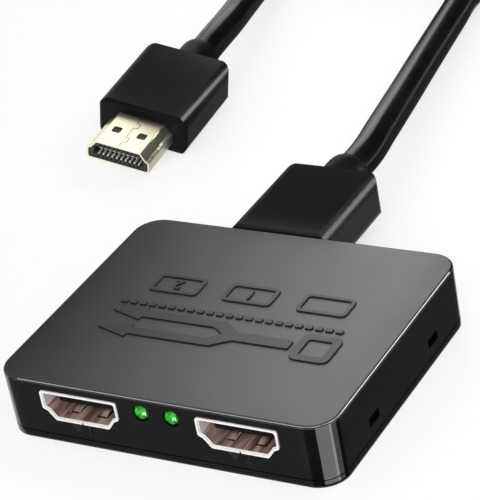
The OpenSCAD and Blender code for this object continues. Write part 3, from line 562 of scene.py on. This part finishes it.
def cordRoute(c, plugFrame):
    tail = Vector(c["inputTail"])
    freeTail = plugFrame @ Vector((0, c["plugLength"], 0))
    freeAxis = (freeTail - plugFrame.translation).normalized()
    coil = coilPoints(c)
    lead = Vector((0, c["diameter"], 0))
    start = [tail, tail + Vector((0, c["straight"], 0))] + [Vector(p) for p in c["inputRun"]]
    end = [freeTail, freeTail + c["straight"] * freeAxis] + [Vector(p) for p in c["freeRun"]]
    return start + [coil[0] - lead] + coil + [coil[-1] - lead] + end[::-1]


def makeCord(c):
    points = [p * mm for p in cordRoute(c, freePlugFrame(freePlug))]
    data = bpy.data.curves.new("cord", "CURVE")
    data.dimensions = "3D"
    data.bevel_depth = c["diameter"] / 2 * mm
    data.bevel_resolution = c["bevelSteps"]
    data.resolution_u = c["curveSteps"]
    data.use_fill_caps = True
    spline = data.splines.new("BEZIER")
    spline.bezier_points.add(len(points) - 1)
    for knot, point in zip(spline.bezier_points, points):
        knot.co = point
        knot.handle_left_type = knot.handle_right_type = "AUTO"
    data.materials.append(finishes["cordSheath"])
    obj = link(bpy.data.objects.new("cord", data))
    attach(obj, "cable")
    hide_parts("cord_input_run", "cord_coil", "cord_free_run")
    return obj, points


# tie: a woven strap round two turns by two, with its end lapped over the top
strap = {"thick": 0.6, "corner": 1.8, "edge": 0.12, "lapStart": 1.2, "lapShare": 0.5, "lapCorner": 0.25}


def makeStrap(s):
    low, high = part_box("coil_tie")
    width = (high.y - low.y) / mm
    height = (high.z - low.z) / mm - s["thick"]            # the lap lies on top of the loop
    inner = [width - 2 * s["thick"], height - 2 * s["thick"]]
    loop = [boxOutline(0, 0, width, height, s["corner"]), boxOutline(0, 0, *inner, s["corner"] - s["thick"])]
    lapLength = inner[0] * s["lapShare"]
    lapX = -inner[0] / 2 + s["lapStart"] + lapLength / 2
    lap = [boxOutline(lapX, height / 2 + s["thick"] / 2, lapLength, s["thick"], s["lapCorner"])]
    middle = Vector(((low.x + high.x) / 2, (low.y + high.y) / 2, low.z + height / 2 * mm))
    across = Matrix(((0, 0, 1, 0), (1, 0, 0, 0), (0, 1, 0, 0), (0, 0, 0, 1)))      # stands the outlines up
    place = Matrix.Translation(middle) @ across
    pieces = []
    for name, outlines in (("coilStrap", loop), ("coilStrapLap", lap)):
        piece = plate(name, outlines, (high.x - low.x) / mm, s["edge"], place, finishes["strapWeave"])
        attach(piece, "cable")
        pieces.append(piece)
    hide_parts("coil_tie")
    return pieces


cordPiece, cordLine = makeCord(cord)
strapPieces = makeStrap(strap)
print("cord laid")

# studio: a white floor that keeps a pale shadow, under a sky with a dark patch
studio = {
    "floorSize": 3.0, "floorTone": 0.85, "floorRoughness": 0.5, "floorSpecular": 0.1,
    "floorShade": 0.28, "floorGlow": 0.71,                 # the floor's colour and glow as the camera sees it
    "sky": 0.85, "darkSky": 0.03,
    "darkWay": (0.4, 0.72, 0.55), "darkReach": (36, 48),   # degrees off that way
}
white = (1, 1, 1, 1)


def makeFloor(s):
    build = bmesh.new()
    bmesh.ops.create_grid(build, x_segments=1, y_segments=1, size=s["floorSize"])
    material, tree = newMaterial("floorWhite")
    shader = tree.nodes["Principled BSDF"]
    shader.inputs["Roughness"].default_value = s["floorRoughness"]
    shader.inputs["Specular IOR Level"].default_value = s["floorSpecular"]
    rays = tree.nodes.new("ShaderNodeLightPath")
    seen = rays.outputs["Is Camera Ray"]
    for other in ("Is Glossy Ray", "Is Transmission Ray"):
        either = tree.nodes.new("ShaderNodeMath")
        either.operation = "MAXIMUM"
        tree.links.new(seen, either.inputs[0])
        tree.links.new(rays.outputs[other], either.inputs[1])
        seen = either.outputs["Value"]
    tone = mixed(tree, seen, (s["floorTone"],) * 3, (s["floorShade"],) * 3)
    tree.links.new(tone, shader.inputs["Base Color"])
    shader.inputs["Emission Color"].default_value = white
    tree.links.new(ranged(tree, seen, 0, s["floorGlow"], 0, 1), shader.inputs["Emission Strength"])
    floor = meshObject("floor", build, material)


def makeWorld(s):
    world = bpy.data.worlds.new("studio")
    bpy.context.scene.world = world
    world.use_nodes = True
    tree = world.node_tree
    way = tree.nodes.new("ShaderNodeTexCoord")
    dot = tree.nodes.new("ShaderNodeVectorMath")
    dot.operation = "DOT_PRODUCT"
    dot.inputs[1].default_value = Vector(s["darkWay"]).normalized()
    tree.links.new(way.outputs["Generated"], dot.inputs[0])
    near, far = [math.cos(math.radians(a)) for a in s["darkReach"]]
    sky = tree.nodes["Background"]
    sky.inputs["Color"].default_value = white
    brightness = ranged(tree, dot.outputs["Value"], s["sky"], s["darkSky"], far, near)
    tree.links.new(brightness, sky.inputs["Strength"])


makeFloor(studio)
makeWorld(studio)


def panelLight(name, place, target, size, strength, glossy, along=None):
    data = bpy.data.lights.new(name, "AREA")
    data.shape = "RECTANGLE"
    data.size, data.size_y = size[0] * mm, size[1] * mm
    data.energy = strength * data.size * data.size_y * math.pi   # strength is the panel's own brightness
    lamp = link(bpy.data.objects.new(name, data))
    lamp.location = Vector(place) * mm
    way = Vector(target) - Vector(place)
    aim = way.to_track_quat("-Z", "Y").to_matrix()
    if along:
        line = aim.inverted() @ along
        aim = aim @ Matrix.Rotation(math.atan2(line.y, line.x), 3, "Z")
    lamp.rotation_euler = aim.to_euler()
    lamp.visible_camera = False
    lamp.visible_glossy = glossy         # a glossy panel shows in shiny surfaces alone
    lamp.visible_diffuse = not glossy


# a card that only shiny surfaces show, and only its face
def cardObject(name, quads, facing, tone=0.0, ramp=None):
    build = bmesh.new()
    for quad in quads:
        face = build.faces.new([build.verts.new(Vector(p) * mm) for p in quad])
        face.normal_update()
        if face.normal.dot(facing) < 0:
            face.normal_flip()
    material, tree = newMaterial(name)
    tree.nodes.remove(tree.nodes["Principled BSDF"])
    glow = addNode(tree, "ShaderNodeEmission", Color=white, Strength=tone)
    if ramp:
        place = tree.nodes.new("ShaderNodeTexCoord")
        parts = tree.nodes.new("ShaderNodeSeparateXYZ")
        tree.links.new(place.outputs["Object"], parts.inputs["Vector"])
        start, end, low, high = ramp
        slope = ranged(tree, parts.outputs["X"], low, high, start * mm, end * mm)
        tree.links.new(slope, glow.inputs["Strength"])
    clear = tree.nodes.new("ShaderNodeBsdfTransparent")
    side = tree.nodes.new("ShaderNodeNewGeometry")
    choice = tree.nodes.new("ShaderNodeMixShader")
    tree.links.new(side.outputs["Backfacing"], choice.inputs["Fac"])
    tree.links.new(glow.outputs["Emission"], choice.inputs[1])
    tree.links.new(clear.outputs["BSDF"], choice.inputs[2])
    tree.links.new(choice.outputs["Shader"], tree.nodes["Material Output"].inputs["Surface"])
    card = meshObject(name, build, material)
    card.visible_camera = card.visible_diffuse = card.visible_shadow = card.visible_transmission = False


# floor cards before the case's front and right side, and bright strips at the corner between them
floorCards = {
    "height": 0.25, "reach": 24, "overrun": 20, "viewAzimuth": 34,
    "frontTone": 0.2, "sideTone": 0.1,
    "dark": [(0, 8, 0.25), (8, 82, 0.0), (82, 90, 0.1)],           # degrees round the corner, and tone
    "bright": [(30, 56, 3.1), (56, 61, 5.2), (61, 72, 1.0)],
    "near": 1.5,                         # how close the bright ones stand
    "fanStep": 4,                        # degrees
}


def layFloorCards(c):
    low, high = caseLow / mm, caseHigh / mm
    centre = Vector((high.x - caseCorner, low.y + caseCorner, c["height"]))
    up = Vector((0, 0, 1))

    def ray(face, x, y, reach=c["reach"], height=c["height"]):
        way = math.radians(2 * face - c["viewAzimuth"])            # the view, mirrored in that face
        start = Vector((x, y, height))
        return start, start + reach * Vector((math.sin(way), -math.cos(way), 0))

    def onCorner(face, *ends):
        a = math.radians(face)
        return ray(face, centre.x + caseCorner * math.sin(a), centre.y - caseCorner * math.cos(a), *ends)

    def strip(first, second):
        return [first[0], first[1], second[1], second[0]]

    def fan(name, start, end, tone, *ends):
        count = max(1, int((end - start) / c["fanStep"]))
        edges = [onCorner(start + (end - start) * k / count, *ends) for k in range(count + 1)]
        cardObject(name, [strip(a, b) for a, b in zip(edges, edges[1:])], up, tone)

    frontEnd = ray(0, low.x - c["overrun"], low.y)
    sideEnd = ray(90, high.x, high.y + c["overrun"])
    cardObject("frontCard", [strip(frontEnd, onCorner(0))], up, c["frontTone"])
    cardObject("sideCard", [strip(onCorner(90), sideEnd)], up, c["sideTone"])
    for i, zone in enumerate(c["dark"]):
        fan("cornerDark%d" % i, *zone)
    for i, (start, end, tone) in enumerate(c["bright"]):
        fan("cornerFoot%d" % i, start, end, tone, c["near"], 2 * c["height"])
        first, second = [onCorner(face, c["near"], high.z / 2)[1] for face in (start, end)]
        across = second - first
        middle = (first + second) / 2
        panelLight("cornerStrip%d" % i, middle, middle + Vector((-across.y, across.x, 0)),
                   (across.length, high.z), tone, True)


layFloorCards(floorCards)

# cards hung over the object or laid on the floor; a ramp runs from one x to another, between two tones
hungCards = {
    "lidCard": {"place": (-49, 25, 35), "size": (142, 66), "ramp": (-58, 9, 0.0, 3.2)},
    "lidRearCard": {"place": (-57, 68, 35), "size": (126, 20), "ramp": (-58, 9, 0.0, 4.75)},
    "plugCard": {"place": (-10.5, 48.5, 16), "size": (28, 31), "tone": 0.2},
    "plugSideCard": {"place": (18, 46, 0.3), "size": (24, 34), "tone": 0.75},
    "freePlugCard": {"place": (-62.5, 85, 18), "size": (24, 24), "tone": 0.5},
    "freePlugSideCard": {"place": (-41, 87, 0.3), "size": (22, 34), "tone": 0.4},
    "shellCard": {"place": (-63.5, 79, 27), "size": (40, 26), "tone": 1.4},
    "shellSideCard": {"place": (-44, 62, 0.3), "size": (20, 16), "tone": 0.5},
    "cordCard": {"place": (-105, 240, 105), "size": (90, 90), "tone": 2.4, "target": (-10, 100, 5)},
    "cordRightCard": {"place": (8, 118, 0.3), "size": (44, 108), "tone": 0.08},
    "cordLeftCard": {"place": (-30, 118, 0.4), "size": (28, 108), "tone": 0.2},
    "freeCordRightCard": {"place": (-52, 135, 0.3), "size": (28, 68), "tone": 0.1},
    "freeCordLeftCard": {"place": (-89, 138, 0.3), "size": (44, 76), "tone": 0.2},
}


def hangCard(name, place, size, target=None, **glow):
    centre = Vector(place)
    level = Vector((centre.x, centre.y, lidTop / mm))              # up from the floor, or down from above
    way = (Vector(target) if target else level) - centre
    turn = way.to_track_quat("-Z", "Y")
    w, h = size[0] / 2, size[1] / 2
    corners = [centre + turn @ Vector((x, y, 0)) for x, y in ((-w, -h), (w, -h), (w, h), (-w, h))]
    cardObject(name, [corners], way, **glow)


for cardName, card in hungCards.items():
    hangCard(cardName, **card)

# softboxes light the scene; the strips are the bright lines along the plugs' edges
softboxes = {
    "backPanel": {"place": (150, 240, 260), "target": (0, 40, 10), "size": (170, 170), "strength": 5},
    "frontPanel": {"place": (120, -300, 200), "target": (0, 0, 6), "size": (250, 250), "strength": 3},
}
plugStrips = {
    "plugStrip": {"place": (5.35, 44.9, 11.59), "target": (4.3, 44.9, 10.9),
                  "size": (36, 1.56), "strength": 13},
    "freePlugStrip": {"place": (-47.79, 80.4, 9.26), "target": (-48.9, 80.4, 8.6),
                      "size": (24, 1.38), "strength": 18},
}
for lampName, lamp in softboxes.items():
    panelLight(lampName, **lamp, glossy=False)
for lampName, lamp in plugStrips.items():
    panelLight(lampName, **lamp, glossy=True)

# strips for the bright line on the lid's edge: the front, round the right corner, and the side
lidEdge = {
    "inset": 0.15, "tilt": 45, "distance": 1.4, "width": 0.6,
    "turns": (0, 30, 60, 90), "strengths": (8, 9, 11, 13, 18),
}


def lightLidEdge(e, view):
    low, high = caseLow / mm, caseHigh / mm
    turn, drop, tilt = [math.radians(a) for a in (view["azimuth"], view["elevation"], e["tilt"])]
    sight = Vector((-math.sin(turn) * math.cos(drop), math.cos(turn) * math.cos(drop), -math.sin(drop)))
    radius = caseCorner - e["inset"]
    z = high.z - e["inset"]

    def onEdge(face, x, y):
        a = math.radians(face)
        normal = Vector((math.sin(a) * math.sin(tilt), -math.cos(a) * math.sin(tilt), math.cos(tilt)))
        point = Vector((x, y, z)) + radius * Vector((math.sin(a), -math.cos(a), 0))
        return point, point + e["distance"] * (sight - 2 * sight.dot(normal) * normal)

    middle = (high.x - caseCorner, low.y + caseCorner)
    line = [onEdge(0, low.x + caseCorner, middle[1])] + [onEdge(face, *middle) for face in e["turns"]]
    line.append(onEdge(90, middle[0], high.y - caseCorner))
    for i, strength in enumerate(e["strengths"]):
        (edgeA, lampA), (edgeB, lampB) = line[i], line[i + 1]
        across = lampB - lampA
        place = (lampA + lampB) / 2
        way = (edgeA + edgeB) / 2 - place
        way -= way.project(across)                # square to the strip
        panelLight("lidStrip%d" % i, place, place + way, (across.length, e["width"]), strength, True, across)


lightLidEdge(lidEdge, cameraView)
bpy.context.scene.view_settings.view_transform = "Standard"
print("studio lit")
